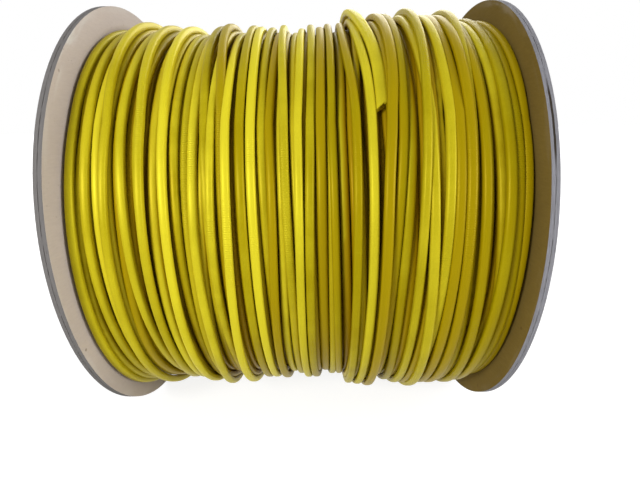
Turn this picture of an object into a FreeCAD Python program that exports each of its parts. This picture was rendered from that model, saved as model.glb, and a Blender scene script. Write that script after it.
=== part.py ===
import FreeCAD
import Part
import math
import os
from FreeCAD import Vector

# Wire reel lying on its two rims, in millimetres. X runs along the reel's axis, Z is up, and the
# origin is the middle of the spindle bore. Angles round the axis start at the front (-Y) and rise
# over the top (+Z).

# Flange boards: each flange is two plies of grey board glued face to face
flange_diameter = 200.0
ply_thickness = 1.5
traverse = 170.0

# Paper core tube between the flanges
tube_bore = 76.0
tube_wall = 5.0

# Moulded hub pushed through each flange into the tube
lip_diameter = 104.0
lip_thickness = 2.5
spigot_engagement = 15.0
spigot_wall = 2.5
web_thickness = 3.0
spindle_bore = 22.0
sleeve_wall = 3.0
rib_count = 6
rib_thickness = 2.2
rib_setback = 2.0

# Tie bolts that draw the two hubs together
bolt_count = 3
bolt_circle = 52.0
bolt_diameter = 6.0
hex_across_flats = 10.0
head_height = 4.0
nut_height = 5.0
washer_diameter = 12.0
washer_thickness = 1.6
bolt_end_beyond_nut = 3.0

# Wire and its winding: a full layer from the left flange to the right one, and a part layer back
wire_diameter = 3.3
conductor_diameter = 1.8
inner_layers_radius = 87.8
layer_turns = 5
wire_section_sides = 4
climb_turns = 0.5
return_turns = 2.5
return_end_x = 22.0
tail_turns = 0.3
cut_end_x = 31.0
cut_end_angle = 35.5
cut_end_slant = 32.0
cut_end_run = 9.0
bared_depth = 6.0
riser_run = 9.0
riser_dive_angle = 16.0
wander = 0.9
wander_waves = 0.37
flutter = 0.4
flutter_waves = 1.31

# Clearances, each on one side
tube_fit = 0.25
tube_to_winding = 0.3
winding_to_flange = 0.5
turn_seat = 0.35
crossing_gap = 0.5
turn_to_flange = 0.8
bolt_hole_fit = 0.3
washer_fit = 0.2
thread_fit = 0.05
conductor_fit = 0.05

# Sizes that follow from the ones above
flange_thickness = 2 * ply_thickness
inner_face_x = traverse / 2
board_face_x = inner_face_x + flange_thickness
reel_end_x = board_face_x + lip_thickness
spigot_radius = tube_bore / 2 - tube_fit
spigot_length = flange_thickness + spigot_engagement
sleeve_radius = spindle_bore / 2 + sleeve_wall
tube_radius = tube_bore / 2 + tube_wall
web_outer_x = board_face_x - spigot_length + web_thickness
wire_radius = wire_diameter / 2
first_turn_x = inner_face_x - turn_to_flange - wire_radius
turn_pitch = (2 * first_turn_x) / layer_turns
total_turns = layer_turns + climb_turns + return_turns
X_AXIS = Vector(1, 0, 0)


def ring(outer_radius, inner_radius, x_start, length):
    """A flat ring or tube about the reel's axis, from x_start along +X."""
    outer = Part.makeCylinder(outer_radius, length, Vector(x_start, 0, 0), X_AXIS)
    inner = Part.makeCylinder(inner_radius, length, Vector(x_start, 0, 0), X_AXIS)
    return outer.cut(inner)


def revolved(points):
    """The solid turned about the reel's axis by a closed profile of (x, radius) points."""
    corners = [Vector(x, 0, radius) for x, radius in points]
    profile = Part.Face(Part.makePolygon(corners + [corners[0]]))
    return profile.revolve(Vector(0, 0, 0), X_AXIS, 360)


def around(angle, radius, x=0.0):
    """The point at an angle round the axis, in degrees from the front, rising over the top."""
    turn = math.radians(angle)
    return Vector(x, -radius * math.cos(turn), radius * math.sin(turn))


def turned(shape, angle):
    """A copy of the shape turned about the reel's axis."""
    copy = shape.copy()
    copy.rotate(Vector(0, 0, 0), X_AXIS, angle)
    return copy


def mirrored(shape):
    """The shape's twin at the other end of the reel."""
    return shape.mirror(Vector(0, 0, 0), X_AXIS)


def bolt_angles():
    """Where the tie bolts stand, each halfway between two of the hub's ribs."""
    step = 360 / bolt_count
    return [step * (index + 0.5) for index in range(bolt_count)]


def flange_ply(x_start):
    """One round ply of board with the hole that the hub's spigot passes."""
    return ring(flange_diameter / 2, tube_bore / 2, x_start, ply_thickness)


def core_tube():
    """The paper tube, its ends against the flanges' inner faces."""
    return ring(tube_radius, tube_bore / 2, -inner_face_x, traverse)


def hub_rib():
    """One radial rib in the hub's cup, from the sleeve to the spigot's wall."""
    length = reel_end_x - rib_setback - web_outer_x
    reach = spigot_radius - spigot_wall / 2 - (sleeve_radius - sleeve_wall / 2)
    start = Vector(web_outer_x, -rib_thickness / 2, sleeve_radius - sleeve_wall / 2)
    return Part.makeBox(length, rib_thickness, reach, start)


def right_hub():
    """The moulded hub at the +X end: lip, spigot, web, sleeve, ribs and bolt holes."""
    web_inner_x = web_outer_x - web_thickness
    cup_radius = spigot_radius - spigot_wall
    bore_radius = spindle_bore / 2
    hub = revolved([
        (web_inner_x, bore_radius),
        (web_inner_x, spigot_radius),
        (board_face_x, spigot_radius),
        (board_face_x, lip_diameter / 2),
        (reel_end_x, lip_diameter / 2),
        (reel_end_x, cup_radius),
        (web_outer_x, cup_radius),
        (web_outer_x, sleeve_radius),
        (reel_end_x, sleeve_radius),
        (reel_end_x, bore_radius),
    ])
    rib = hub_rib()
    rib_step = 360 / rib_count
    ribs = [turned(rib, rib_step * index) for index in range(rib_count)]
    holes = []
    for angle in bolt_angles():
        foot = around(angle, bolt_circle / 2, web_inner_x)
        holes.append(Part.makeCylinder(bolt_diameter / 2 + bolt_hole_fit, web_thickness, foot, X_AXIS))
    return hub.multiFuse(ribs).cut(Part.Compound(holes)).removeSplitter()


def hexagon(x_start, height, centre):
    """A hexagonal prism along +X."""
    corner_radius = hex_across_flats / math.sqrt(3)
    corners = []
    for index in range(6):
        turn = math.radians(60 * index)
        corners.append(Vector(x_start, corner_radius * math.cos(turn), corner_radius * math.sin(turn)))
    prism = Part.Face(Part.makePolygon(corners + [corners[0]])).extrude(Vector(height, 0, 0))
    prism.translate(Vector(0, centre.y, centre.z))
    return prism


def washer(centre):
    """One washer on the right hub's web."""
    start = Vector(web_outer_x, centre.y, centre.z)
    disc = Part.makeCylinder(washer_diameter / 2, washer_thickness, start, X_AXIS)
    return disc.cut(Part.makeCylinder(bolt_diameter / 2 + washer_fit, washer_thickness, start, X_AXIS))


def nut(centre):
    """One nut on its washer in the right hub."""
    seat = web_outer_x + washer_thickness
    body = hexagon(seat, nut_height, centre)
    start = Vector(seat, centre.y, centre.z)
    return body.cut(Part.makeCylinder(bolt_diameter / 2 + thread_fit, nut_height, start, X_AXIS))


def tie_bolt(centre):
    """One tie bolt, its head in the left hub and its end beyond the nut in the right one."""
    seat = web_outer_x + washer_thickness
    head = mirrored(hexagon(seat, head_height, centre))
    end_x = seat + nut_height + bolt_end_beyond_nut
    shank_start = Vector(-seat, centre.y, centre.z)
    shank = Part.makeCylinder(bolt_diameter / 2, seat + end_x, shank_start, X_AXIS)
    return head.fuse(shank).removeSplitter()


def at_each_bolt(make):
    """A group of separate solids, one made at each tie bolt's place."""
    return Part.Compound([make(around(angle, bolt_circle / 2)) for angle in bolt_angles()])


def smooth(share):
    """An ease from 0 to 1 with level ends."""
    share = min(max(share, 0.0), 1.0)
    return share * share * (3 - 2 * share)


def wire_x(turns):
    """Where along the reel the wire's centre line is, after so many turns from its start."""
    if turns <= layer_turns:
        fade = smooth(turns) * smooth(layer_turns - turns)
        slow = wander * math.sin(2 * math.pi * wander_waves * turns)
        quick = flutter * math.sin(2 * math.pi * flutter_waves * turns)
        return -first_turn_x + turn_pitch * turns + fade * (slow + quick)
    share = max(turns - layer_turns - climb_turns, 0.0) / return_turns
    eased = share * (2 * share - share * share)
    tail = smooth(1 - (total_turns - turns) / tail_turns)
    return first_turn_x + (return_end_x - first_turn_x) * eased + (cut_end_x - return_end_x) * tail


def wire_point(turns):
    """A point on the wire's centre line: along the layer, up the climb and back on top of it."""
    x = wire_x(turns)
    climb = smooth((turns - layer_turns) / climb_turns) * (wire_diameter + crossing_gap)
    radius = inner_layers_radius + turn_seat + wire_radius + climb
    start_angle = cut_end_angle + 360 * total_turns
    return around(start_angle - 360 * turns, radius, x)


def wire_direction(turns):
    """The unit direction of the wire's centre line."""
    step = 0.0005
    return (wire_point(turns + step) - wire_point(turns - step)).normalize()


def biarc(start, start_way, end, end_way):
    """Two arcs that leave the start and reach the end in the given directions."""
    chord = end - start
    both = start_way + end_way
    square = both.dot(both) - 4
    linear = -2 * chord.dot(both)
    root = math.sqrt(linear * linear - 4 * square * chord.dot(chord))
    reach = (-linear - root) / (2 * square)
    start_knee = start + start_way * reach
    end_knee = end - end_way * reach
    joint = (start_knee + end_knee) * 0.5
    return [arc_by_knee(start, joint, start_knee), arc_by_knee(joint, end, end_knee)]


def arc_by_knee(start, end, knee):
    """The arc from start to end whose end tangents meet at the knee."""
    middle = (start + end) * 0.5
    half = (end - start).Length / 2
    rise = knee - middle
    sagitta = half * ((knee - start).Length - half) / rise.Length
    return Part.Arc(start, middle + rise.normalize() * sagitta, end).toShape()


def wire_path():
    """The wire's centre line: a straight start, biarcs of a quarter turn, a straight cut end."""
    start = wire_point(0)
    start_way = wire_direction(0)
    dive = inward_tilt(start, start_way, riser_dive_angle)
    foot = start - dive * wire_diameter
    edges = [Part.LineSegment(foot, start).toShape()]
    spans = math.ceil(4 * total_turns)
    marks = [total_turns * index / spans for index in range(spans + 1)]
    last_way = dive
    for low, high in zip(marks, marks[1:]):
        next_way = wire_direction(high)
        edges += biarc(wire_point(low), last_way, wire_point(high), next_way)
        last_way = next_way
    end = wire_point(total_turns)
    edges.append(Part.LineSegment(end, end + last_way * cut_end_run).toShape())
    return Part.Wire(edges)


def inward_tilt(point, way, angle):
    """The direction of the wire as it rises out of the layers below, the angle steeper than way."""
    outward = Vector(0, point.y, point.z).normalize()
    turn = math.radians(angle)
    return (way * math.cos(turn) + outward * math.sin(turn)).normalize()


def wire_section(centre, way):
    """The wire's faceted section: its corners lie on the wire's own diameter."""
    outward = Vector(0, centre.y, centre.z).normalize()
    outward = (outward - way * outward.dot(way)).normalize()
    side = way.cross(outward)
    corners = []
    for index in range(wire_section_sides):
        turn = 2 * math.pi * (index + 0.5) / wire_section_sides
        corners.append(centre + outward * (wire_radius * math.cos(turn)) + side * (wire_radius * math.sin(turn)))
    return Part.makePolygon(corners + [corners[0]])


def slant_cutter(end, way):
    """The block that takes the wire's end off obliquely."""
    outward = Vector(0, end.y, end.z).normalize()
    side = way.cross(outward).normalize()
    size = 2 * wire_diameter
    block = Part.makeBox(size, size, size, Vector(-size / 2, -size / 2, 0))
    frame = FreeCAD.Matrix(
        outward.x, side.x, way.x, end.x,
        outward.y, side.y, way.y, end.y,
        outward.z, side.z, way.z, end.z,
        0, 0, 0, 1,
    )
    block.rotate(Vector(0, 0, 0), Vector(1, 0, 0), cut_end_slant)
    return block.transformGeometry(frame)


def least_gap(path):
    """The least gap between one turn of the wire and any other, on points a few millimetres apart."""
    spacing = wire_diameter
    points = path.discretize(Number=int(path.Length / spacing))
    skip = int(math.pi * inner_layers_radius / spacing)
    gap = traverse
    for index, point in enumerate(points):
        for other in points[index + skip:]:
            if abs(other.x - point.x) < gap + wire_diameter:
                gap = min(gap, (other - point).Length - wire_diameter)
    return gap


def wound_wire():
    """The outer layer with its cut end, and the conductor that shows in the cut."""
    path = wire_path()
    first = path.Edges[0]
    foot = first.valueAt(first.FirstParameter)
    foot_way = first.tangentAt(first.FirstParameter)
    sweep = Part.BRepOffsetAPI.MakePipeShell(path)
    sweep.add(wire_section(foot, foot_way))
    sweep.build()
    sweep.makeSolid()
    wire = sweep.shape()
    section_area = wire_section_sides / 2 * wire_radius ** 2 * math.sin(2 * math.pi / wire_section_sides)
    print("wire length %.0f mm, volume over section times length %.4f" % (
        path.Length, wire.Volume / (section_area * path.Length)))
    print("least gap between turns %.2f mm" % least_gap(path))
    last = path.Edges[-1]
    end = last.valueAt(last.LastParameter)
    way = last.tangentAt(last.LastParameter)
    cut_middle = end - way * (wire_radius * math.tan(math.radians(cut_end_slant)))
    cutter = slant_cutter(cut_middle, way)
    bore_start = cut_middle - way * bared_depth
    bore_length = bared_depth + wire_diameter
    bore = Part.makeCylinder(conductor_diameter / 2 + conductor_fit, bore_length, bore_start, way)
    core = Part.makeCylinder(conductor_diameter / 2, bore_length, bore_start, way)
    return wire.cut(Part.Compound([cutter, bore])), core.cut(cutter)


def inner_layers():
    """Everything wound under the outer layer, with the wire's riser that the outer layer starts from."""
    half = inner_face_x - winding_to_flange
    body = ring(inner_layers_radius, tube_radius + tube_to_winding, -half, 2 * half)
    start = wire_point(0)
    dive = inward_tilt(start, wire_direction(0), riser_dive_angle)
    foot = start - dive * wire_diameter
    riser = Part.Face(wire_section(foot, dive)).extrude(dive * -riser_run)
    return body.fuse(riser)


def build():
    """Every piece of the reel, by its name."""
    wire, conductor = wound_wire()
    hub = right_hub()
    washers = at_each_bolt(washer)
    return {
        "left_flange_inner_ply": flange_ply(-inner_face_x - ply_thickness),
        "left_flange_outer_ply": flange_ply(-board_face_x),
        "right_flange_inner_ply": flange_ply(inner_face_x),
        "right_flange_outer_ply": flange_ply(board_face_x - ply_thickness),
        "core_tube": core_tube(),
        "left_hub": mirrored(hub),
        "right_hub": hub,
        "tie_bolts": at_each_bolt(tie_bolt),
        "tie_nuts": at_each_bolt(nut),
        "bolt_washers": Part.Compound(mirrored(washers).Solids + washers.Solids),
        "inner_layers": inner_layers(),
        "outer_layer": wire,
        "wire_conductor": conductor,
    }


os.makedirs("parts", exist_ok=True)
for name, shape in build().items():
    shape.exportStep("parts/%s.step" % name)
    print(name, "solids", len(shape.Solids), "volume %.0f mm3" % shape.Volume, "valid", shape.isValid())
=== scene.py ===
"""The looks of a board-flanged reel of yellow wire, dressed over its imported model.

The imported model's frame is kept: X runs along the reel's axis, Z is up, and the origin is the middle
of the spindle bore. Sizes are millimetres and become metres where a mesh or a lamp is made. Angles
round the axis are degrees from the front (-Y) and rise over the top (+Z).
"""

import logging
import math
from dataclasses import dataclass, field
from enum import Enum

import bpy
import numpy as np
from mathutils import Matrix, Vector


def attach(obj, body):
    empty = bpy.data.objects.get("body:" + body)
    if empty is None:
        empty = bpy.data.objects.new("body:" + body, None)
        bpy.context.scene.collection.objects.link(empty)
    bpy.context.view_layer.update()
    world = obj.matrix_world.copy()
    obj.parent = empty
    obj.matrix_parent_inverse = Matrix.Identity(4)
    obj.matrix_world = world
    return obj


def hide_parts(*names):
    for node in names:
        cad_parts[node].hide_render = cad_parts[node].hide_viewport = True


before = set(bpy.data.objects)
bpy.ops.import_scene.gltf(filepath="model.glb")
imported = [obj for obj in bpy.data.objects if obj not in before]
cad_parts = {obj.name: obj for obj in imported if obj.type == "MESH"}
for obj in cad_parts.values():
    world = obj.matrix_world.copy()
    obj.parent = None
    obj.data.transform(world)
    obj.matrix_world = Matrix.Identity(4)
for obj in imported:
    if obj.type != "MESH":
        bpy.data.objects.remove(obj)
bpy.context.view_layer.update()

Pair = tuple[float, float]
Triple = tuple[float, float, float]
Colour = Triple
Array = np.ndarray
Material = bpy.types.Material
Piece = bpy.types.Object
Socket = bpy.types.NodeSocket
MM = 0.001
BODY = "root"
log = logging.getLogger("reel")


class Term:
    """A number socket of a material that takes part in Python expressions."""

    def __init__(self, graph: "Graph", socket: Socket) -> None:
        """Keeps the socket and the graph that its Math nodes go into."""
        self.graph = graph
        self.socket = socket

    def _math(self, operation: str, first: "Term | float", second: "Term | float" = 0.0) -> "Term":
        """Adds one Math node.

        Args:
            operation: The node's operation.
            first: Its first value.
            second: Its second value.

        Returns:
            The node's result.
        """
        node = self.graph.node("ShaderNodeMath", {"operation": operation}, {0: first, 1: second})
        return Term(self.graph, node.outputs[0])

    def __add__(self, other: "Term | float") -> "Term":
        """self + other."""
        return self._math("ADD", self, other)

    __radd__ = __add__

    def __sub__(self, other: "Term | float") -> "Term":
        """self - other."""
        return self._math("SUBTRACT", self, other)

    def __rsub__(self, other: float) -> "Term":
        """other - self."""
        return self._math("SUBTRACT", other, self)

    def __mul__(self, other: "Term | float") -> "Term":
        """self * other."""
        return self._math("MULTIPLY", self, other)

    __rmul__ = __mul__

    def __truediv__(self, other: "Term | float") -> "Term":
        """self / other."""
        return self._math("DIVIDE", self, other)

    def __pow__(self, other: float) -> "Term":
        """self to the power of other."""
        return self._math("POWER", self, other)

    def __abs__(self) -> "Term":
        """The size of self without its sign."""
        return self._math("ABSOLUTE", self)

    def sine(self) -> "Term":
        """The sine of self, in radians."""
        return self._math("SINE", self)

    def fraction(self) -> "Term":
        """What is left of self above its whole number."""
        return self._math("FRACT", self)

    def larger(self, other: "Term | float") -> "Term":
        """The larger of self and other."""
        return self._math("MAXIMUM", self, other)

    def angle_from(self, other: "Term") -> "Term":
        """The angle whose sine goes with self and whose cosine goes with other, in radians."""
        return self._math("ARCTAN2", self, other)

    def ease(self, low: float, high: float) -> "Term":
        """A smooth rise from 0 at low to 1 at high, or a fall where low is the larger.

        Args:
            low: The value of self that gives 0.
            high: The value of self that gives 1.

        Returns:
            The eased value.
        """
        if low > high:
            return 1.0 - self.ease(high, low)
        node = self.graph.node(
            "ShaderNodeMapRange",
            {"interpolation_type": "SMOOTHSTEP"},
            {"Value": self, "From Min": low, "From Max": high},
        )
        return Term(self.graph, node.outputs[0])

    def band(self, low: float, high: float, soft: float) -> "Term":
        """1 between low and high and 0 outside, with soft edges."""
        return self.ease(low - soft, low + soft) * self.ease(high + soft, high - soft)


class Graph:
    """The node tree of one material, or of the world."""

    def __init__(self, owner: Material | bpy.types.World) -> None:
        """Empties the owner's node tree and keeps it.

        Args:
            owner: The material or world that the nodes go into.
        """
        self.owner = owner
        owner.use_nodes = True
        self.tree = owner.node_tree
        self.tree.nodes.clear()

    @classmethod
    def of_material(cls, name: str) -> "Graph":
        """The graph of a new material of that name."""
        return cls(bpy.data.materials.new(name))

    def node(self, kind: str, settings: dict | None = None,
             inputs: dict | None = None) -> bpy.types.Node:
        """Adds one node.

        Args:
            kind: The node's type.
            settings: The node's own properties, set first.
            inputs: Values, terms or sockets by the name or number of the input they go to.

        Returns:
            The node.
        """
        made = self.tree.nodes.new(kind)
        for name, value in (settings or {}).items():
            setattr(made, name, value)
        for key, value in (inputs or {}).items():
            if isinstance(value, Term):
                value = value.socket
            if isinstance(value, Socket):
                self.tree.links.new(value, made.inputs[key])
            elif isinstance(value, tuple) and made.inputs[key].type == "RGBA":
                made.inputs[key].default_value = (*value, 1.0)
            else:
                made.inputs[key].default_value = value
        return made

    def place(self) -> tuple[Term, Term, Term]:
        """Finds the shaded point in the object.

        Returns:
            Its x, y and z, in millimetres.
        """
        here = self.node("ShaderNodeTexCoord").outputs["Object"]
        scaled = self.node("ShaderNodeVectorMath", {"operation": "SCALE"}, {0: here, "Scale": 1 / MM})
        parts = self.node("ShaderNodeSeparateXYZ", None, {0: scaled.outputs[0]}).outputs
        return Term(self, parts[0]), Term(self, parts[1]), Term(self, parts[2])

    def normal_x(self) -> Term:
        """How far the surface faces along the reel's axis, from -1 to 1."""
        facing = self.node("ShaderNodeNewGeometry").outputs["Normal"]
        return Term(self, self.node("ShaderNodeSeparateXYZ", None, {0: facing}).outputs[0])

    def stored(self, name: str) -> Term:
        """The mesh's own stored number of that name."""
        return Term(self, self.node("ShaderNodeAttribute", {"attribute_name": name}).outputs["Fac"])

    def vector(self, x: Term | float, y: Term | float, z: Term | float) -> Socket:
        """Three numbers as one vector."""
        return self.node("ShaderNodeCombineXYZ", None, {0: x, 1: y, 2: z}).outputs[0]

    def noise(self, where: Socket, scale: float, detail: float = 3.0) -> Term:
        """Soft noise from 0 to 1.

        Args:
            where: The vector that the noise is read at.
            scale: How many features there are for each unit of it.
            detail: How many finer octaves are added.

        Returns:
            The noise.
        """
        inputs = {"Vector": where, "Scale": scale, "Detail": detail}
        return Term(self, self.node("ShaderNodeTexNoise", None, inputs).outputs[0])

    def mix(self, share: Term, first: object, second: object) -> Socket:
        """A colour between two.

        Args:
            share: 0 for the first colour and 1 for the second.
            first: A colour, as numbers or a socket.
            second: A colour, as numbers or a socket.

        Returns:
            The mixed colour.
        """
        settings = {"data_type": "RGBA", "clamp_factor": True}
        return self.node("ShaderNodeMix", settings, {0: share, 6: first, 7: second}).outputs[2]

    def relief(self, height: Term, under: Socket | None = None) -> Socket:
        """The normal of a surface with a height in millimetres on it.

        Args:
            height: The height.
            under: The normal that it lies on, or None for the mesh's own.

        Returns:
            The new normal.
        """
        inputs = {"Height": height, "Distance": MM, "Strength": 1.0}
        if under is not None:
            inputs["Normal"] = under
        return self.node("ShaderNodeBump", None, inputs).outputs[0]

    def soft_edges(self, radius: float) -> Socket:
        """The normal that rounds every edge to a radius in millimetres."""
        return self.node("ShaderNodeBevel", {"samples": 4}, {"Radius": radius * MM}).outputs[0]

    def finish(self, **sockets: object) -> Material:
        """Ends the graph with its surface shader.

        Args:
            sockets: The shader's inputs, with _ for each blank in their names.

        Returns:
            The material.
        """
        inputs = {name.replace("_", " "): value for name, value in sockets.items()}
        shader = self.node("ShaderNodeBsdfPrincipled", None, inputs)
        self.node("ShaderNodeOutputMaterial", None, {"Surface": shader.outputs[0]})
        return self.owner


@dataclass(frozen=True)
class Insulation:
    """The wire's soft yellow covering, with painted shade that makes it darker and more orange deep
    between the turns.
    """

    name: str = "yellow_insulation"
    pale: Colour = (0.72, 0.62, 0.022)
    full: Colour = (0.37, 0.292, 0.001)
    golden: Colour = (0.38, 0.27, 0.001)
    # deep is painted shade: the darker, more orange colour that the wire takes deep between the turns
    deep: Colour = (0.37, 0.235, 0.001)
    gloss: float = 0.09
    gloss_colour: Colour = (1.0, 0.92, 0.45)
    roughness: float = 0.38
    yellow_shine: float = 0.09
    cloud_share: float = 0.8
    tint_share: float = 1.7
    speck_share: float = 0.3
    golden_share: float = 0.85
    grain: float = 0.035
    rib_spacing: float = 0.85
    rib_height: float = 0.045

    def material(self) -> Material:
        """Builds the insulation's material.

        Returns:
            The material.
        """
        graph = Graph.of_material(self.name)
        x, y, z = graph.place()
        here = graph.vector(x, y, z)
        along = graph.stored("along")
        sunk = graph.stored("sunk")
        tint = graph.stored("tint")
        drawn = graph.vector(along * 0.035, tint * 40.0, 0.0)
        cloud = graph.noise(drawn, 1.0, 4.0)
        speck = graph.noise(here, 1.6, 4.0)
        clouded = (cloud - 0.5) * self.cloud_share
        specked = (speck - 0.5) * self.speck_share
        colour = graph.mix(clouded + tint * self.tint_share + specked - 0.5, self.full, self.pale)
        golden = (tint + (cloud - 0.5) * 0.5).ease(0.42, 0.05) * self.golden_share
        colour = graph.mix(golden, colour, self.golden)
        # Painted shade between the turns: the colour goes towards deep the further a point lies under
        # the winding's top
        colour = graph.mix(sunk.ease(0.05, 0.9), colour, self.deep)
        ribbed = graph.noise(graph.vector(along * 0.011, tint * 12.0, 3.0), 1.0, 1.0).ease(0.56, 0.70)
        ribs = (along * (2 * math.pi / self.rib_spacing)).sine() * ribbed
        fine = graph.noise(here, 3.2, 3.0)
        height = ribs * self.rib_height + fine * self.grain + cloud * 0.04
        rough = self.roughness + (speck - 0.5) * 0.18 + (cloud - 0.5) * 0.1
        return graph.finish(
            Base_Color=colour,
            Roughness=rough,
            Specular_IOR_Level=self.gloss,
            Metallic=self.yellow_shine,
            Specular_Tint=self.gloss_colour,
            Normal=graph.relief(height),
        )


class Side(Enum):
    """The two ends of the reel, by the sign of x."""

    LEFT = -1
    RIGHT = 1


@dataclass(frozen=True)
class Board:
    """Grey laminated board with kraft liners on both faces and a fibrous rim; the colours of its inner
    face and rim carry painted lighting.

    The seam between its plies stands open from split_from up to split_to, in degrees, and nowhere
    where the first is the larger; that opening is painted dark, as painted shade in the gap. Each spot
    is a radius, an angle, a size and a strength.
    """

    side: Side
    # liner and inner_kraft_dark_painted_lighting: each inner face's kraft colour with painted lighting
    # in it, painted light on the left board and painted shade on the right
    inner_kraft_painted_lighting: Colour
    inner_kraft_dark_painted_lighting: Colour
    # core and core_dark: the rim's grey with painted lighting in it; the right board's is painted paler
    # and bluer than the left's, as painted light
    core: Colour
    core_dark: Colour
    rubbed_share: float
    rubbed_middle: float
    layering: float
    split_from: float
    split_to: float
    spots: tuple[tuple[float, float, float, float], ...]
    outer_liner: Colour = (0.42, 0.36, 0.31)
    outer_dark: Colour = (0.36, 0.305, 0.265)
    spot_colour: Colour = (0.10, 0.055, 0.02)
    speck_colour: Colour = (0.16, 0.12, 0.08)
    rubbed_colour: Colour = (0.62, 0.60, 0.58)
    pit_colour: Colour = (0.05, 0.045, 0.04)
    # The dark of the ply seam, and painted shade in the open split
    seam_and_split_shade_colour: Colour = (0.045, 0.035, 0.025)
    rim_radius: float = 100.0
    edge_radius: float = 0.35
    seam_x: float = 86.5
    roughness: float = 0.8
    gloss: float = 0.1

    def material(self) -> Material:
        """Builds the board's material.

        Returns:
            The material.
        """
        graph = Graph.of_material(f"board_{self.side.name.lower()}")
        x, y, z = graph.place()
        out = x * float(self.side.value)
        here = graph.vector(x, y, z)
        radius = (y * y + z * z) ** 0.5
        angle = z.angle_from(y * -1.0)
        degrees = angle * (180 / math.pi)
        edge = abs(graph.normal_x()).ease(0.75, 0.45)
        ring_way = graph.vector(out * 3.2, angle * 4.0, radius * 0.15)

        blotch = graph.noise(here, 0.035, 4.0)
        fibre = graph.noise(graph.vector(x, y * 0.35, z * 2.2), 0.9, 5.0)
        speck = graph.noise(here, 1.1, 2.0)
        shade = (blotch - 0.5) * 1.4 + (fibre - 0.5) * 0.9 + 0.35
        # Inner faces: kraft mottle over colours that carry painted light on the left board and painted
        # shade on the right
        face = graph.mix(shade, self.inner_kraft_painted_lighting, self.inner_kraft_dark_painted_lighting)
        outside = out.ease(self.seam_x - 0.2, self.seam_x + 0.2)
        weathered = graph.mix(shade, self.outer_liner, self.outer_dark)
        face = graph.mix(outside, face, weathered)
        face = graph.mix(speck.ease(0.70, 0.78) * 0.5, face, self.speck_colour)
        near_rim = radius.ease(self.rim_radius - 4.5, self.rim_radius - 0.8)
        rubbed = graph.noise(graph.vector(radius * 0.25, angle * 5.0, out), 1.0, 4.0)
        gathered = 0.25 + degrees.band(self.rubbed_middle - 10, self.rubbed_middle + 10, 8.0)
        rubbing = near_rim * rubbed.ease(0.42, 0.62) * gathered * self.rubbed_share
        face = graph.mix(rubbing, face, self.rubbed_colour)
        for spot_radius, spot_angle, spot_size, spot_strength in self.spots:
            across = (degrees - spot_angle) * math.radians(spot_radius)
            away = ((radius - spot_radius) ** 2 + across ** 2) ** 0.5 + (fibre - 0.5) * spot_size
            stain = away.ease(spot_size, 0.3 * spot_size) * spot_strength
            face = graph.mix(stain, face, self.spot_colour)

        strand = graph.noise(ring_way, 2.0, 6.0)
        torn = graph.noise(graph.vector(out * 1.2, angle * 22.0, 0.0), 1.0, 4.0)
        layers = (strand - 0.5) * self.layering + (torn - 0.5) * 0.35 * self.layering + 0.5
        # Rim: fibrous layering over core colours that carry painted lighting
        rim = graph.mix(layers, self.core_dark, self.core)
        pit = graph.noise(graph.vector(out * 2.0, angle * 30.0, 7.0), 1.0, 3.0).ease(0.68, 0.76)
        rim = graph.mix(pit * 0.7, rim, self.pit_colour)
        # The ply seam is a dark joint; where the seam stands open, the dark opening is painted shade in
        # the gap
        split = degrees.band(self.split_from, self.split_to, 3.0)
        wander = graph.noise(graph.vector(angle * 9.0, 2.0, 0.0), 1.0, 3.0) - 0.5
        from_seam = abs(out - self.seam_x + wander * 0.5)
        seam = from_seam.ease(0.16, 0.04) * torn.ease(0.35, 0.62) * 0.6
        painted_split_shade = (from_seam - split * 0.28).ease(0.16, 0.02) * split
        seam_and_split_shade = seam.larger(painted_split_shade)
        rim = graph.mix(seam_and_split_shade, rim, self.seam_and_split_shade_colour)

        colour = graph.mix(edge, face, rim)
        face_relief = fibre * 0.05 + blotch * 0.25
        rim_relief = strand * 0.22 + torn * 0.15 - pit * 0.25 - seam_and_split_shade * 0.4
        height = face_relief * (1.0 - edge) + rim_relief * edge
        return graph.finish(
            Base_Color=colour,
            Roughness=self.roughness + (fibre - 0.5) * 0.15,
            Specular_IOR_Level=self.gloss,
            Normal=graph.relief(height, graph.soft_edges(self.edge_radius)),
        )


@dataclass(frozen=True)
class WoundPaper:
    """The core tube's brown paper, wound on a slant, with its butted seams."""

    name: str = "wound_paper"
    pale: Colour = (0.40, 0.29, 0.18)
    dark: Colour = (0.27, 0.19, 0.11)
    seam_colour: Colour = (0.07, 0.05, 0.03)
    strip: float = 62.0

    def material(self) -> Material:
        """Builds the wound paper's material.

        Returns:
            The material.
        """
        graph = Graph.of_material(self.name)
        x, y, z = graph.place()
        angle = z.angle_from(y * -1.0)
        here = graph.vector(x, y, z)
        slant = (x / self.strip + angle / (2 * math.pi)).fraction()
        seam = slant.ease(0.025, 0.008)
        fibre = graph.noise(graph.vector(x * 0.5, y * 2.0, z * 2.0), 1.0, 5.0)
        cloud = graph.noise(here, 0.08, 3.0)
        colour = graph.mix((fibre - 0.5) * 1.2 + cloud, self.pale, self.dark)
        colour = graph.mix(seam * 0.7, colour, self.seam_colour)
        height = fibre * 0.05 - seam * 0.15
        return graph.finish(Base_Color=colour, Roughness=0.85, Normal=graph.relief(height))


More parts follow.
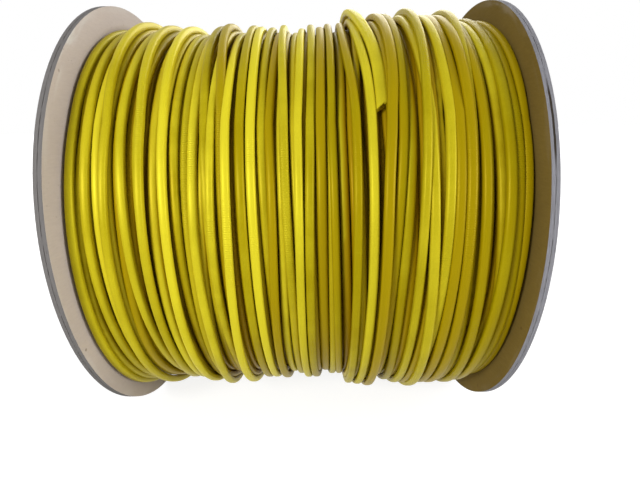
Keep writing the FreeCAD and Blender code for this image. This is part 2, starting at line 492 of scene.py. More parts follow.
@dataclass(frozen=True)
class MouldedPlastic:
    """The hubs' black plastic: a fine spark texture, rubbed shinier in places."""

    name: str = "moulded_black"
    body: Colour = (0.018, 0.018, 0.020)
    rubbed: Colour = (0.050, 0.050, 0.052)

    def material(self) -> Material:
        """Builds the moulded plastic's material.

        Returns:
            The material.
        """
        graph = Graph.of_material(self.name)
        x, y, z = graph.place()
        here = graph.vector(x, y, z)
        spark = graph.noise(here, 2.6, 3.0)
        wear = graph.noise(here, 0.11, 4.0)
        radius = (y * y + z * z) ** 0.5
        scratch = graph.noise(graph.vector(radius * 1.6, z * 0.05, y * 0.05), 1.0, 4.0)
        worn = wear.ease(0.45, 0.75) * 0.6 + scratch.ease(0.62, 0.72) * 0.4
        colour = graph.mix(worn, self.body, self.rubbed)
        rough = 0.42 + (wear - 0.5) * 0.3 + (spark - 0.5) * 0.1
        height = spark * 0.045 + wear * 0.1
        return graph.finish(
            Base_Color=colour,
            Roughness=rough,
            Normal=graph.relief(height, graph.soft_edges(0.4)),
        )


@dataclass(frozen=True)
class ZincSteel:
    """Bright zinc on steel, slightly mottled."""

    name: str = "zinc_steel"
    bright: Colour = (0.62, 0.62, 0.60)
    dull: Colour = (0.42, 0.42, 0.42)

    def material(self) -> Material:
        """Builds the plated steel's material.

        Returns:
            The material.
        """
        graph = Graph.of_material(self.name)
        here = graph.vector(*graph.place())
        spangle = graph.noise(here, 0.7, 4.0)
        fine = graph.noise(here, 4.0, 2.0)
        colour = graph.mix(spangle, self.bright, self.dull)
        rough = 0.3 + (spangle - 0.5) * 0.3
        return graph.finish(
            Base_Color=colour,
            Roughness=rough,
            Metallic=1.0,
            Normal=graph.relief(fine * 0.02, graph.soft_edges(0.15)),
        )


@dataclass(frozen=True)
class Copper:
    """The conductor's bare copper, freshly cut."""

    name: str = "bare_copper"
    bright: Colour = (0.80, 0.40, 0.24)
    dull: Colour = (0.52, 0.24, 0.14)

    def material(self) -> Material:
        """Builds the copper's material.

        Returns:
            The material.
        """
        graph = Graph.of_material(self.name)
        here = graph.vector(*graph.place())
        drawn = graph.noise(here, 3.0, 3.0)
        colour = graph.mix(drawn, self.bright, self.dull)
        return graph.finish(
            Base_Color=colour,
            Roughness=0.25 + drawn * 0.2,
            Metallic=1.0,
            Normal=graph.relief(drawn * 0.05),
        )


def mesh_piece(name: str, points: Array, faces: list, material: Material,
               stored: dict[str, Array] | None = None) -> Piece:
    """Makes one mesh object of the reel.

    Args:
        name: The piece's name.
        points: Its points, in millimetres.
        faces: The point numbers of each face.
        material: Its finish.
        stored: Numbers kept for each point, by name.

    Returns:
        The object.
    """
    mesh = bpy.data.meshes.new(name)
    mesh.from_pydata((points * MM).tolist(), [], faces)
    mesh.shade_smooth()
    for key, values in (stored or {}).items():
        mesh.attributes.new(key, "FLOAT", "POINT").data.foreach_set("value", values.astype(np.float32))
    mesh.materials.append(material)
    piece = bpy.data.objects.new(name, mesh)
    bpy.context.scene.collection.objects.link(piece)
    return piece


def rings_to_faces(rings: int, points: int, closed: bool = False) -> list[list[int]]:
    """The faces over rings of points that follow one another.

    Args:
        rings: How many rings there are.
        points: How many points each has.
        closed: Whether the last ring joins the first one. Otherwise each of them is capped.

    Returns:
        The faces.
    """
    joins = rings if closed else rings - 1
    start = np.arange(joins)[:, None] * points
    around = np.arange(points)[None, :]
    low = start + around
    low_next = start + (around + 1) % points
    high, high_next = ((ring + points) % (rings * points) for ring in (low, low_next))
    faces = np.stack([low, high, high_next, low_next], -1).reshape(-1, 4).tolist()
    if not closed:
        faces.append(list(range(points)))
        faces.append(list(range(rings * points - 1, (rings - 1) * points - 1, -1)))
    return faces


def smooth_noise(random: np.random.Generator, count: int, period: float) -> Array:
    """Noise along a line.

    Args:
        random: Where its values come from.
        count: How many samples there are.
        period: How many samples one feature takes.

    Returns:
        The samples, about 1 in size.
    """
    values = random.normal(size=math.ceil(count / period) + 4)
    place = np.arange(count) / period
    low = place.astype(int)
    share = place - low
    share = share * share * (3 - 2 * share)
    return values[low + 1] * (1 - share) + values[low + 2] * share


def blurred(values: Array, spread: float) -> Array:
    """Smooths a line of values.

    Args:
        values: The values.
        spread: The spread of the bell that smooths them, in samples.

    Returns:
        The smoothed values, as many as before.
    """
    reach = int(3 * spread)
    bell = np.exp(-0.5 * (np.arange(-reach, reach + 1) / spread) ** 2)
    padded = np.concatenate([np.full(reach, values[0]), values, np.full(reach, values[-1])])
    return np.convolve(padded, bell / bell.sum(), "valid")


@dataclass
class Run:
    """A stretch of the wire: its centre line, its frame and its section at each station."""

    centre: Array
    way: Array
    side: Array
    outward: Array
    wide: Array
    high: Array
    tint: Array
    along: Array

    def part(self, low: int, top: int) -> "Run":
        """The stretch from one station up to another."""
        return Run(*(values[low:top] for values in vars(self).values()))


@dataclass
class Drum:
    """How far out the winding has grown, at each station round the reel and each bin along it."""

    stations: int
    wire_stations: int
    half_width: float
    start_radius: float
    rises: tuple[Pair, Pair]
    wire_radius: float
    bin_width: float = 0.25

    def __post_init__(self) -> None:
        """Sets out the empty drum and the wire's outline over the bins."""
        self.bins = int(2 * self.half_width / self.bin_width) + 1
        across = np.linspace(-self.half_width, self.half_width, self.bins)
        self.top = np.tile(self.start(across), (self.stations, 1))
        reach = int(self.wire_radius / self.bin_width)
        self.offsets = np.arange(-reach, reach + 1)
        self.cap = np.sqrt(self.wire_radius ** 2 - (self.offsets * self.bin_width) ** 2)

    def start(self, x: Array) -> Array:
        """How far out the deeper layers come.

        Args:
            x: Places along the reel.

        Returns:
            The radius at each, which is more against the flanges.
        """
        (left, left_reach), (right, right_reach) = self.rises
        radius = self.start_radius + left * np.exp(-((x + self.half_width) / left_reach) ** 2)
        return radius + right * np.exp(-((x - self.half_width) / right_reach) ** 2)

    def columns(self, x: Array) -> Array:
        """Finds the bins under a wire.

        Args:
            x: Its centre along the reel at each station.

        Returns:
            The bins, a row for each station.
        """
        middle = np.rint((x + self.half_width) / self.bin_width).astype(int)
        reach = self.offsets[-1]
        middle = np.clip(middle, reach, self.bins - 1 - reach)
        return middle[:, None] + self.offsets[None, :]

    def seat(self, rows: Array, x: Array) -> Array:
        """How far out the wire's centre has to be at each station, lying on what is there."""
        return (self.top[rows[:, None], self.columns(x)] + self.cap).max(1)

    def add(self, rows: Array, x: Array, radius: Array) -> None:
        """Lays the wire on the drum.

        Args:
            rows: Its stations round the reel.
            x: Its centre along the reel at each.
            radius: Its centre's radius at each.
        """
        columns = self.columns(x)
        outline = radius[:, None] + self.cap
        self.top[rows[:, None], columns] = np.maximum(self.top[rows[:, None], columns], outline)


@dataclass
class Winding:
    """The wire, laid turn by turn over a bed of deeper layers, with its cut end on top.

    pitches, widths and wanders are for the lower, upper and top pass. The other groups are: bed_rises,
    how much higher the bed is at each flange, and how far out from it; wander_swings and tint_swings,
    shares and their periods in turns; painted_shade_drift, painted shade that makes the wire darker and
    more
    golden towards the right flange: how much the tint falls, from which x and over how much;
    section_shares, for width and height, the plain share, its swell and what the cut adds;
    tail_lift, how high the tail crosses, at which angle and over how much; gaps, the x, angle and
    reach of each; tail_marks, angles that count on past 360 back from the cut, and the wire's x there.
    """

    wire_radius: float = 1.65
    conductor_radius: float = 0.9
    half_width: float = 84.4
    flange_gap: float = 0.3
    guide_half_width: float = 81.9
    bed_radius: float = 82.0
    bed_rises: tuple[Pair, Pair] = ((3.6, 9.0), (2.0, 7.0))
    bed_bore_radius: float = 43.3
    bed_ridges: int = 46
    bed_groove: float = 1.3
    bed_stations: int = 96
    stations: int = 144
    seed: int = 5
    pitches: Triple = (3.3, 3.05, 3.4)
    widths: Triple = (1.0, 0.97, 1.07)
    wanders: Triple = (0.5, 0.3, 0.9)
    wander_swings: tuple[Pair, Pair] = ((1.0, 0.31), (0.8, 0.83))
    top_pass_end_x: float = 22.0
    settle_steps: int = 14
    look_ahead: int = 24
    probe: float = 0.5
    slack: float = 0.12
    most_pull: float = 1.2
    loose_hold: float = 0.04
    firm_hold: float = 0.5
    held_turns: float = 2.4
    least_free: float = 0.08
    gap_push: float = 2.4
    gap_edge: float = 1.4
    gap_width: float = 8.0
    gap_soft: float = 1.6
    tint_middle: float = 0.5
    tint_swings: tuple[Pair, Pair] = ((0.24, 0.8), (0.08, 0.3))
    # Painted shade: the tint falls towards the right flange, making the wire darker and more golden
    # there
    painted_shade_drift: Triple = (0.17, -30.0, 90.0)
    bed_tint: float = 0.4
    swell_turns: float = 0.45
    section_shares: tuple[Triple, Triple] = ((1.03, 0.07, 0.36), (0.97, -0.05, -0.1))
    squareness: float = 3.0
    # Painted shade between the turns starts lit_depth wire radii under the top, is full dark_depth radii
    # further down, and reads the top over shade_reach bins to each side
    lit_depth: float = 0.7
    dark_depth: float = 3.4
    shade_reach: int = 13
    sharp_from: float = 70.0
    cut_angle: float = 35.5
    cut_flat_turns: float = 0.2
    cut_reach: float = 0.9
    cut_slope: float = 0.75
    cut_ragged: float = 0.22
    cut_depth: float = 1.6
    tail_lift: Triple = (0.8, 80.0, 14.0)
    tail_join: float = 0.4
    finish: Insulation = field(default_factory=Insulation)
    copper: Copper = field(default_factory=Copper)
    gaps: tuple[Triple, ...] = ((-39.0, 36.0, 10.0), (-9.5, 35.5, 6.0))
    tail_marks: tuple[Pair, ...] = (
        (35.5, 30.6), (50.0, 30.8), (56.5, 28.7), (69.0, 24.6), (79.0, 22.0), (100.0, 21.0),
        (180.0, 21.5), (270.0, 20.5), (360.0, 21.3), (389.0, 21.5), (399.0, 21.4), (409.0, 19.1),
        (420.0, 17.6), (440.0, 17.8), (540.0, 21.0), (630.0, 24.0), (720.0, 27.2), (759.0, 26.8),
        (770.0, 25.6), (780.0, 23.0), (800.0, 22.0), (900.0, 26.0), (990.0, 29.5), (1080.0, 31.5),
        (1104.0, 31.7), (1109.0, 32.4), (1115.5, 35.4), (1130.0, 35.8), (1160.0, 35.0), (1260.0, 35.5),
    )

    def guide(self, random: np.random.Generator) -> tuple[Array, list[int]]:
        """Where the winder would put the wire.

        Args:
            random: Where its wander comes from.

        Returns:
            The wire's x at each station, and the stations where its passes end.
        """
        half = self.guide_half_width
        reaches = (2 * half, 2 * half, half - self.top_pass_end_x)
        turns = [round(reach / pitch) for reach, pitch in zip(reaches, self.pitches)]
        ends = np.cumsum(turns) * self.stations
        count = int(ends[-1])
        place = np.arange(count)
        x = np.interp(place, [0, *ends], [half, -half, half, self.top_pass_end_x])
        wander = blurred(np.repeat(self.wanders, np.array(turns) * self.stations), 30)
        for share, period in self.wander_swings:
            x += share * wander * smooth_noise(random, count, self.stations * period)
        angle = self.angles(count) % 360
        for middle, at, reach in self.gaps:
            beside = x - middle
            push = np.tanh(beside / self.gap_edge) * np.exp(-(beside / self.gap_width) ** 2)
            x += self.gap_push * push * np.exp(-((angle - at) / (self.gap_soft * reach)) ** 4)
        marks = np.array(self.tail_marks)
        marked_at = count - 1 - (marks[:, 0] - self.cut_angle) / 360 * self.stations
        tail = blurred(np.interp(place, marked_at[::-1], marks[::-1, 1]), 2.5)
        share = np.clip((place - marked_at[-1]) / (self.tail_join * self.stations), 0, 1)
        x = x * (1 - share) + tail * share
        return np.clip(x, -half, half), [int(end) for end in ends]

    def angles(self, count: int) -> Array:
        """The angle round the reel of each station, in degrees, falling towards the cut end."""
        return self.cut_angle + 360 * (count - 1 - np.arange(count)) / self.stations

    def lay(self) -> tuple[list[Run], Drum]:
        """Lays the wire turn by turn.

        Returns:
            The passes of the wire, and the finished drum.
        """
        random = np.random.default_rng(self.seed)
        guide, ends = self.guide(random)
        count = guide.size
        drum = Drum(self.stations, count, self.half_width, self.bed_radius, self.bed_rises,
                    self.wire_radius)
        x = np.zeros(count)
        radius = np.zeros(count)
        carried = None
        turns_left = (count - np.arange(count)) / self.stations
        free = np.clip(turns_left - self.held_turns, self.least_free, 1)
        for start in range(0, count, self.stations):
            stop = min(count, start + self.stations + self.look_ahead)
            rows = np.arange(start, stop) % self.stations
            line, out = self.settle(drum, rows, guide[start:stop], free[start:stop], carried)
            kept = min(self.stations, count - start)
            x[start:start + kept] = line[:kept]
            radius[start:start + kept] = out[:kept]
            following = min(kept, line.size - 1)
            carried = (line[following], out[following])
            drum.add(rows[:kept], line[:kept], out[:kept])
        wire = self.wire(random, x, radius, ends)
        starts = [0, *ends[:-1]]
        return [wire.part(low, top + 1) for low, top in zip(starts, ends)], drum

    def settle(self, drum: Drum, rows: Array, aim: Array, free: Array,
               carried: Pair | None) -> tuple[Array, Array]:
        """Lets a turn slide into the hollows beside it and bridge the dips.

        Args:
            drum: What lies under it.
            rows: Its stations round the reel.
            aim: Where the winder would put it.
            free: How freely it slides at each station, up to 1.
            carried: Where along the reel and how far out the turn before it ends.

        Returns:
            Where along the reel and how far out its centre is at each station.
        """
        limit = self.half_width - self.wire_radius - self.flange_gap
        line = aim.copy()
        for _ in range(self.settle_steps):
            left = drum.seat(rows, line - self.probe)
            right = drum.seat(rows, line + self.probe)
            pull = blurred(np.clip(left - right, -self.most_pull, self.most_pull), 5)
            hold = self.loose_hold + self.firm_hold * (1 - free)
            line = line + free * 4 * self.slack * pull + hold * (aim - line)
            line = blurred(line, 3 - 1.5 * (1 - free.min()))
            if carried is not None:
                line = line + np.exp(-np.arange(line.size) / 8) * (carried[0] - line[0])
            line = np.clip(line, -limit, limit)
        out = drum.seat(rows, line)
        widest = np.maximum.reduce([np.roll(out, shift) for shift in (-2, -1, 0, 1, 2)])
        out = blurred(np.maximum(blurred(widest, 6), blurred(out, 2)), 3)
        if carried is not None:
            out = out + np.exp(-np.arange(out.size) / 10) * (carried[1] - out[0])
        return line, out

    def wire(self, random: np.random.Generator, x: Array, radius: Array, ends: list[int]) -> Run:
        """Gives the laid wire its frame, its changing section and its tints.

        Args:
            random: Where the changes come from.
            x: The wire's place along the reel at each station.
            radius: Its centre's radius at each.
            ends: The stations where its passes end.

        Returns:
            The whole wire.
        """
        count = x.size
        degrees = self.angles(count)
        tint = np.full(count, self.tint_middle)
        for share, period in self.tint_swings:
            tint += share * smooth_noise(random, count, self.stations * period)
        # The tint falls towards the right flange as painted shade, darker and more golden there
        painted_shade_fall, drift_from, drift_over = self.painted_shade_drift
        tint -= painted_shade_fall * np.clip((x - drift_from) / drift_over, 0, 1)
        swell = smooth_noise(random, count, self.stations * self.swell_turns)
        flat = np.exp(-((count - 1 - np.arange(count)) / self.stations / self.cut_flat_turns) ** 2)
        wide, high = (plain + swelling * swell + flattening * flat
                      for plain, swelling, flattening in self.section_shares)
        wide = wide * blurred(np.repeat(self.widths, np.diff([0, *ends])), 20)
        lift, lift_at, lift_reach = self.tail_lift
        radius = radius + lift * np.exp(-((degrees - lift_at) / lift_reach) ** 2)
        angle = np.radians(degrees)
        centre = np.stack([x, -radius * np.cos(angle), radius * np.sin(angle)], -1)
        step = np.gradient(centre, axis=0)
        length = np.linalg.norm(step, axis=1, keepdims=True)
        way = step / length
        outward = np.stack([0 * x, -np.cos(angle), np.sin(angle)], -1)
        side = np.cross(way, outward)
        side *= np.sign(side[:, :1]) / np.linalg.norm(side, axis=1, keepdims=True)
        outward = outward - way * (outward * way).sum(1, keepdims=True)
        outward /= np.linalg.norm(outward, axis=1, keepdims=True)
        return Run(centre, way, side, outward, wide, high, tint, np.cumsum(length))

    def section(self, points: int) -> list[Array]:
        """Draws the wire's rounded section.

        Args:
            points: How many points it has.

        Returns:
            Their shares of its half width, and of its half height.
        """
        turn = 2 * np.pi * (np.arange(points) + 0.5) / points
        return [np.sign(part) * np.abs(part) ** (2 / self.squareness)
                for part in (np.cos(turn), np.sin(turn))]

    def run_piece(self, name: str, run: Run, drum: Drum, points: int, cut: bool,
                  material: Material) -> Piece:
        """Makes one pass of the wire.

        Args:
            name: The piece's name.
            run: The pass.
            drum: The finished drum, for how deep each point lies.
            points: How many points its section has.
            cut: Whether it ends in the wire's cut end.
            material: Its finish.

        Returns:
            The piece.
        """
        across, out = self.section(points)
        wide = self.wire_radius * run.wide
        high = self.wire_radius * run.high
        rings = (run.centre[:, None, :]
                 + run.side[:, None, :] * (wide[:, None] * across[None, :])[:, :, None]
                 + run.outward[:, None, :] * (high[:, None] * out[None, :])[:, :, None])
        tint = np.repeat(run.tint[:, None], points, 1)
        along = np.repeat(run.along[:, None], points, 1)
        if cut:
            rings, tint, along = self.cut_rings(rings, tint, along, run)
        faces = rings_to_faces(len(rings), points)
        stored = {
            "along": along.ravel(),
            "tint": tint.ravel(),
            # sunk carries the painted shade between the turns to the material
            "sunk": self.sunk(rings.reshape(-1, 3), drum),
        }
        piece = mesh_piece(name, rings.reshape(-1, 3), faces, material, stored)
        piece.data.set_sharp_from_angle(angle=math.radians(self.sharp_from))
        return piece

    def cut_rings(self, rings: Array, tint: Array, along: Array,
                  run: Run) -> tuple[Array, Array, Array]:
        """Ends the wire in an oblique, slightly ragged cut that runs in to the conductor, with painted
        shade inside it.

        Args:
            rings: The wire's rings.
            tint: Their tints.
            along: Their lengths from the wire's start.
            run: The pass that they belong to.

        Returns:
            The rings with the cut's own, and their tints and lengths.
        """
        random = np.random.default_rng(self.seed + 1)
        end = rings[-1]
        centre, way = run.centre[-1], run.way[-1]
        offset = (end - centre) @ run.side[-1]
        ragged = self.cut_ragged * random.normal(size=len(end))
        end = end + way * (self.cut_reach - self.cut_slope * offset + ragged)[:, None]
        middle = centre + way * self.cut_reach
        bore = middle + (end - middle) * (self.conductor_radius + 0.1) / (self.wire_radius * 1.1)
        deep = bore - way * self.cut_depth
        rings = np.concatenate([rings[:-1], end[None], bore[None], deep[None]])
        # The cut face grows paler towards the bore; the bore's wall is painted darker going in, as
        # painted shade inside the hole
        tint = np.concatenate([tint, tint[-1:] + 0.5, tint[-1:] - 0.5])
        along = np.concatenate([along, along[-1:], along[-1:]])
        return rings, tint, along

    def sunk(self, points: Array, drum: Drum) -> Array:
        """Measures how deep points lie under the winding's top, as the share of painted shade between
        the turns.

        Args:
            points: The points.
            drum: The finished drum.

        Returns:
            0 for each near the top, up to 1 deep between the turns.
        """
        top = drum.top.copy()
        for shift in range(-self.shade_reach, self.shade_reach + 1):
            top = np.maximum(top, np.roll(drum.top, shift, axis=1))
        angle = np.degrees(np.arctan2(points[:, 2], -points[:, 1]))
        last = drum.wire_stations - 1
        rows = np.rint(last - (angle - self.cut_angle) / 360 * self.stations).astype(int) % self.stations
        columns = np.rint((points[:, 0] + drum.half_width) / drum.bin_width)
        columns = np.clip(columns, 0, drum.bins - 1).astype(int)
        depth = top[rows, columns] - np.hypot(points[:, 1], points[:, 2])
        lit = self.lit_depth * self.wire_radius
        return np.clip((depth - lit) / (self.dark_depth * self.wire_radius), 0, 1)

    def bed(self, drum: Drum, material: Material) -> Piece:
        """Makes the ridged ring that stands for every layer under the laid passes.

        Args:
            drum: The finished drum.
            material: Its finish.

        Returns:
            The piece.
        """
        half = self.half_width
        across = np.linspace(-half, half, 8 * self.bed_ridges + 1)
        crest = np.abs(np.sin(np.pi * (across + half) / (2 * half) * self.bed_ridges))
        profile_x = np.concatenate([across, [half, -half]])
        outside = drum.start(across) - self.bed_groove * (1 - crest)
        profile_r = np.concatenate([outside, [self.bed_bore_radius] * 2])
        turn = np.linspace(0, 2 * np.pi, self.bed_stations, endpoint=False)
        points = np.stack([
            np.repeat(profile_x[None, :], turn.size, 0),
            -np.cos(turn)[:, None] * profile_r[None, :],
            np.sin(turn)[:, None] * profile_r[None, :],
        ], -1).reshape(-1, 3)
        faces = rings_to_faces(turn.size, profile_x.size, closed=True)
        stored = {
            "along": np.repeat(turn * self.bed_radius, profile_x.size),
            "tint": np.full(len(points), self.bed_tint),
            # sunk carries the painted shade between the turns to the material
            "sunk": self.sunk(points, drum),
        }
        return mesh_piece("wire_bed", points, faces, material, stored)

    def conductor(self, run: Run) -> Piece:
        """Makes the end of the conductor inside the cut.

        Args:
            run: The pass that ends there.

        Returns:
            The piece.
        """
        centre, way, side = run.centre[-1], run.way[-1], run.side[-1]
        turn = 2 * np.pi * np.arange(16) / 16
        ring = side * np.cos(turn)[:, None] + run.outward[-1] * np.sin(turn)[:, None]
        ring = ring * self.conductor_radius
        face = centre - way * 0.3 + ring - way * self.cut_slope * (ring @ side)[:, None]
        rings = np.stack([centre - way * 2.5 + ring, face])
        faces = rings_to_faces(2, turn.size)
        return mesh_piece("cut_conductor", rings.reshape(-1, 3), faces, self.copper.material())

    def build(self) -> None:
        """Makes the bed, the three passes and the conductor's end, in place of the model's wire."""
        runs, drum = self.lay()
        material = self.finish.material()
        bed = self.bed(drum, material)
        lower = self.run_piece("wire_lower_pass", runs[0], drum, 8, False, material)
        upper = self.run_piece("wire_upper_pass", runs[1], drum, 12, False, material)
        top = self.run_piece("wire_top_pass", runs[2], drum, 12, True, material)
        core = self.conductor(runs[2])
        for piece in (bed, lower):
            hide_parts("inner_layers")
        for piece in (upper, top):
            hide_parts("outer_layer")
        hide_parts("wire_conductor")
        for piece in (bed, lower, upper, top, core):
            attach(piece, BODY)
            log.info("%s: %d faces", piece.name, len(piece.data.polygons))
        tops = drum.top
        log.info("winding: %.1f mm out on average, %.1f at most", tops.mean(), tops.max())


@dataclass
class Ends:
    """The two board flanges, the hubs in them and the tube between, as the model has them."""

    # Left board: its inner face is painted paler than the outer faces, as painted light
    left_board: Board = Board(
        side=Side.LEFT,
        inner_kraft_painted_lighting=(0.53, 0.46, 0.425),
        inner_kraft_dark_painted_lighting=(0.45, 0.385, 0.355),
        core=(0.22, 0.21, 0.205),
        core_dark=(0.15, 0.14, 0.135),
        rubbed_share=0.8,
        rubbed_middle=50.0,
        layering=1.1,
        split_from=178.0,
        split_to=170.0,
        spots=((97.6, -21.4, 0.9, 0.55), (98.2, 43.0, 0.8, 0.35)),
    )
    # Right board: its inner face is painted dark brown, as painted shade with the winding's yellow
    # bounce in it; its rim core is painted paler and bluer than the left's, as painted light
    right_board: Board = Board(
        side=Side.RIGHT,
        inner_kraft_painted_lighting=(0.22, 0.15, 0.035),
        inner_kraft_dark_painted_lighting=(0.165, 0.11, 0.025),
        core=(0.37, 0.37, 0.415),
        core_dark=(0.18, 0.175, 0.18),
        rubbed_share=0.15,
        rubbed_middle=70.0,
        layering=1.8,
        split_from=20.0,
        split_to=37.0,
        spots=((95.0, -17.7, 0.8, 0.7), (97.0, -54.0, 1.2, 0.4)),
    )
    plastic: MouldedPlastic = field(default_factory=MouldedPlastic)
    paper: WoundPaper = field(default_factory=WoundPaper)

    def dress(self) -> None:
        """Gives the flanges, hubs and tube their finishes."""
        left = self.left_board.material()
        right = self.right_board.material()
        black = self.plastic.material()
        finishes = {
            "left_flange_inner_ply": left,
            "left_flange_outer_ply": left,
            "right_flange_inner_ply": right,
            "right_flange_outer_ply": right,
            "left_hub": black,
            "right_hub": black,
            "core_tube": self.paper.material(),
        }
        for name, material in finishes.items():
            dress_node(name, material)


def dress_node(name: str, material: Material) -> None:
    """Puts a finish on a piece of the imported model.

    Args:
        name: The piece's name.
        material: The finish.
    """
    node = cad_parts[name]
    node.data.materials.clear()
    node.data.materials.append(material)
    log.info("%s: %s", name, material.name)


@dataclass
class Fasteners:
    """The tie bolts with their threads and chamfered heads, their nuts and the washers."""

    count: int = 3
    circle_radius: float = 26.0
    bolt_radius: float = 3.0
    across_flats: float = 10.0
    web_x: float = 73.0
    washer_thickness: float = 1.6
    head_height: float = 4.0
    nut_height: float = 5.0
    end_beyond_nut: float = 3.0
    thread_length: float = 18.0
    thread_pitch: float = 1.0
    thread_depth: float = 0.5
    thread_rings: int = 5
    thread_fade: float = 1.5
    point_length: float = 1.2
    nut_clearance: float = 0.05
    chamfer_angle: float = 30.0
    chamfer_share: float = 0.95
    centre_radius: float = 0.02
    sharp_from: float = 28.0
    around: int = 48
    steel: ZincSteel = field(default_factory=ZincSteel)

    def ring(self, x: Array | float, radius: Array | float, centre: Pair) -> Array:
        """Makes one ring of points about a bolt's axis.

        Args:
            x: Its place along the axis.
            radius: Its radius.
            centre: The axis's y and z.

        Returns:
            Its points.
        """
        turn = 2 * np.pi * np.arange(self.around) / self.around
        along, radius, _ = np.broadcast_arrays(x, radius, turn)
        y = centre[0] + radius * np.cos(turn)
        z = centre[1] + radius * np.sin(turn)
        return np.stack([along, y, z], -1)

    def hexagon_radius(self) -> Array:
        """Draws the hexagon.

        Returns:
            How far out its outline is at each point of a ring.
        """
        turn = 2 * np.pi * np.arange(self.around) / self.around
        from_flat = (turn % (np.pi / 3)) - np.pi / 6
        return self.across_flats / 2 / np.cos(from_flat)

    def hexagon_rings(self, low: float, high: float, centre: Pair, bore: float,
                      chamfer_low: bool) -> list[Array]:
        """The rings of a chamfered hexagon from low to high along x.

        Args:
            low: Where it starts.
            high: Where it ends, its chamfered face.
            centre: Its y and z.
            bore: The radius of the hole or shank in its ends.
            chamfer_low: Whether its start is chamfered too.

        Returns:
            The rings.
        """
        outline = self.hexagon_radius()
        round_face = self.across_flats / 2 * self.chamfer_share
        drop = (outline - round_face) * math.tan(math.radians(self.chamfer_angle))
        drop = drop * math.copysign(1, high - low)
        steps = [(low, bore), (low, round_face), (low + drop, outline)]
        if not chamfer_low:
            steps[1:] = [(low, outline)]
        steps += [(high - drop, outline), (high, round_face), (high, bore)]
        return [self.ring(x, radius, centre) for x, radius in steps]

    def bolt(self, index: int, centre: Pair, material: Material) -> Piece:
        """Makes one tie bolt: its head in the left hub and its threaded end in the right one.

        Args:
            index: Its number.
            centre: Its y and z.
            material: Its finish.

        Returns:
            The piece.
        """
        seat = self.web_x + self.washer_thickness
        head_top = -seat - self.head_height
        rings = [self.ring(head_top, self.centre_radius, centre)]
        rings += self.hexagon_rings(-seat, head_top, centre, self.bolt_radius, False)[::-1][1:]
        end = seat + self.nut_height + self.end_beyond_nut
        thread_start = end - self.thread_length
        rings.append(self.ring(thread_start - self.thread_pitch, self.bolt_radius, centre))
        turn = np.arange(self.around) / self.around
        step = self.thread_pitch / self.thread_rings
        for x in np.arange(thread_start, end - self.point_length / 2, step):
            phase = (x / self.thread_pitch - turn) % 1.0
            ridge = 1 - np.abs(2 * phase - 1)
            fade = min(1.0, (x - thread_start) / self.thread_fade)
            run_out = min(1.0, (end - x) / self.point_length)
            crest = self.bolt_radius - self.thread_depth * (1 - ridge) * fade
            rings.append(self.ring(x, crest - self.thread_depth * (1 - run_out), centre))
        rings.append(self.ring(end, self.bolt_radius - self.thread_depth - 0.4, centre))
        rings.append(self.ring(end, self.centre_radius, centre))
        return self.lathe(f"tie_bolt_{index}", rings, material)

    def nut(self, index: int, centre: Pair, material: Material) -> Piece:
        """Makes one nut on its washer in the right hub.

        Args:
            index: Its number.
            centre: Its y and z.
            material: Its finish.

        Returns:
            The piece.
        """
        seat = self.web_x + self.washer_thickness
        bore = self.bolt_radius + self.nut_clearance
        rings = self.hexagon_rings(seat, seat + self.nut_height, centre, bore, True)
        return self.lathe(f"tie_nut_{index}", rings, material, closed=True)

    def lathe(self, name: str, rings: list[Array], material: Material,
              closed: bool = False) -> Piece:
        """Makes a piece from rings of points.

        Args:
            name: The piece's name.
            rings: Its rings, one after another.
            material: Its finish.
            closed: Whether the last ring joins the first.

        Returns:
            The piece.
        """
        faces = rings_to_faces(len(rings), self.around, closed)
        piece = mesh_piece(name, np.concatenate(rings), faces, material)
        piece.data.set_sharp_from_angle(angle=math.radians(self.sharp_from))
        return piece

    def build(self) -> None:
        """Makes the bolts and nuts, and dresses the washers."""
        material = self.steel.material()
        for index in range(self.count):
            angle = math.radians(360 / self.count * (index + 0.5))
            centre = (-self.circle_radius * math.cos(angle), self.circle_radius * math.sin(angle))
            for piece, node in ((self.bolt(index + 1, centre, material), "tie_bolts"),
                                (self.nut(index + 1, centre, material), "tie_nuts")):
                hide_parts(node)
                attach(piece, BODY)
                log.info("%s: %d faces", piece.name, len(piece.data.polygons))
        dress_node("bolt_washers", material)


@dataclass
class Lamp:
    """One square soft lamp."""

    name: str
    place: Triple
    aim: Triple
    size: float
    watts: float

    def build(self) -> None:
        """Hangs the lamp and turns it to its aim. Places and sizes are millimetres."""
        data = bpy.data.lights.new(self.name, "AREA")
        data.energy = self.watts
        data.size = self.size * MM
        lamp = bpy.data.objects.new(self.name, data)
        bpy.context.scene.collection.objects.link(lamp)
        lamp.location = Vector(self.place) * MM
        way = Vector(self.aim) - Vector(self.place)
        lamp.rotation_euler = way.to_track_quat("-Z", "Y").to_euler()


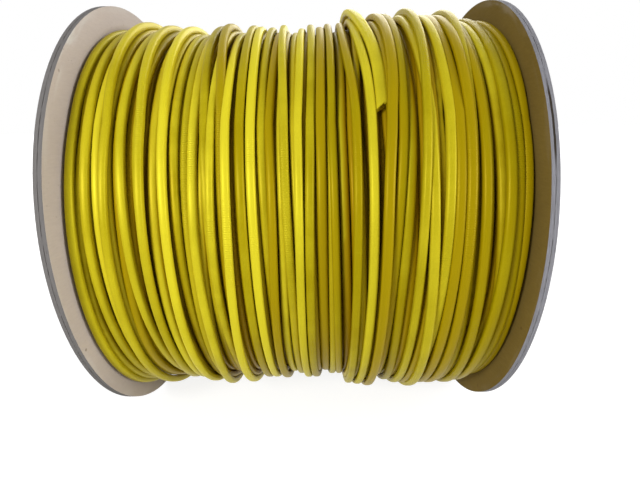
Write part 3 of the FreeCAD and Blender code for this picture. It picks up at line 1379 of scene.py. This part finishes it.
@dataclass
class Studio:
    """The pale floor, the white surroundings, the lamps and the camera."""

    floor_z: float = -100.0
    floor_half: float = 4000.0
    floor_colour: Colour = (0.8, 0.8, 0.8)
    floor_white: float = 1.38
    floor_shown: float = 0.62
    floor_fades: Pair = (200.0, 700.0)
    white: Colour = (1.0, 1.0, 1.0)
    surround_light: float = 0.22
    focal_pixels: float = 429.95
    image_width: int = 640
    image_height: int = 480
    principal: Pair = (320.0, 260.6)
    camera_side: float = 8.05
    camera_reach: float = 244.92
    camera_rise: float = 12.0
    camera_yaw: float = 0.0035
    camera_pitch: float = -0.1198
    camera_roll: float = 0.0148
    camera_sees: Pair = (0.01, 50.0)
    sensor: float = 36.0
    lamps: tuple[Lamp, ...] = (
        Lamp("key_right", (1260.0, -420.0, 330.0), (0.0, -60.0, 20.0), 520.0, 11.0),
        Lamp("fill_front", (-390.0, -600.0, 290.0), (-40.0, 0.0, 0.0), 170.0, 3.4),
        Lamp("fill_back", (450.0, 950.0, 600.0), (0.0, 0.0, 0.0), 900.0, 9.5),
    )

    def seen_directly(self, graph: Graph) -> Term:
        """Tells what is seen from what only lights.

        Args:
            graph: The graph that asks.

        Returns:
            1 for rays from the camera, off gloss and through glass, and 0 for the light itself.
        """
        rays = graph.node("ShaderNodeLightPath").outputs
        camera, gloss, through = (Term(graph, rays[f"Is {kind} Ray"])
                                  for kind in ("Camera", "Glossy", "Transmission"))
        return camera.larger(gloss).larger(through)

    def build_floor(self) -> None:
        """Lays the floor that the reel rests on."""
        half = self.floor_half
        square = ((-half, -half), (half, -half), (half, half), (-half, half))
        corners = np.array([(x, y, self.floor_z) for x, y in square])
        graph = Graph.of_material("pale_floor")
        direct = self.seen_directly(graph)
        plain = graph.node("ShaderNodeBsdfDiffuse", None, {"Color": self.floor_colour})
        shown = {"Color": self.white, "Strength": self.floor_white}
        white = graph.node("ShaderNodeEmission", None, shown)
        x, y, _ = graph.place()
        away = ((x * x + y * y) ** 0.5).ease(*self.floor_fades)
        share = direct * (self.floor_shown + (1 - self.floor_shown) * away)
        parts = {0: share, 1: plain.outputs[0], 2: white.outputs[0]}
        both = graph.node("ShaderNodeMixShader", None, parts)
        graph.node("ShaderNodeOutputMaterial", None, {"Surface": both.outputs[0]})
        floor = mesh_piece("floor", corners, [[0, 1, 2, 3]], graph.owner)

    def build_world(self) -> None:
        """Surrounds the reel with white, which lights it more weakly than it shows."""
        world = bpy.data.worlds.new("white_surround")
        bpy.context.scene.world = world
        graph = Graph(world)
        direct = self.seen_directly(graph)
        strength = direct * (1 - self.surround_light) + self.surround_light
        back = graph.node("ShaderNodeBackground", None, {"Color": self.white, "Strength": strength})
        graph.node("ShaderNodeOutputWorld", None, {"Surface": back.outputs[0]})

    def build_camera(self) -> None:
        """Sets the camera where the photograph was taken from."""
        data = bpy.data.cameras.new("photo_camera")
        data.sensor_width = self.sensor
        data.lens = self.focal_pixels / self.image_width * self.sensor
        data.shift_x = (self.image_width / 2 - self.principal[0]) / self.image_width
        data.shift_y = (self.principal[1] - self.image_height / 2) / self.image_width
        data.clip_start, data.clip_end = self.camera_sees
        camera = bpy.data.objects.new("photo_camera", data)
        bpy.context.scene.collection.objects.link(camera)
        rise = Matrix.Rotation(-math.radians(self.camera_rise), 4, "X")
        turn = rise @ Matrix.Rotation(self.camera_yaw, 4, "Z")
        turn = turn @ Matrix.Rotation(self.camera_pitch, 4, "X")
        turn = turn @ Matrix.Rotation(self.camera_roll, 4, "Y")
        turn = turn @ Matrix.Rotation(math.pi / 2, 4, "X")
        place = rise @ Vector((self.camera_side, -self.camera_reach, 0.0)) * MM
        camera.matrix_world = Matrix.Translation(place) @ turn
        bpy.context.scene.camera = camera

    def build(self) -> None:
        """Makes the whole studio."""
        self.build_floor()
        self.build_world()
        self.build_camera()
        for lamp in self.lamps:
            lamp.build()
        bpy.context.scene.view_settings.view_transform = "Standard"


def main() -> None:
    """Builds the reel's looks and its studio."""
    logging.basicConfig(level=logging.INFO, format="%(name)s: %(message)s")
    Winding().build()
    Ends().dress()
    Fasteners().build()
    Studio().build()


if __name__ == "__main__":
    main()
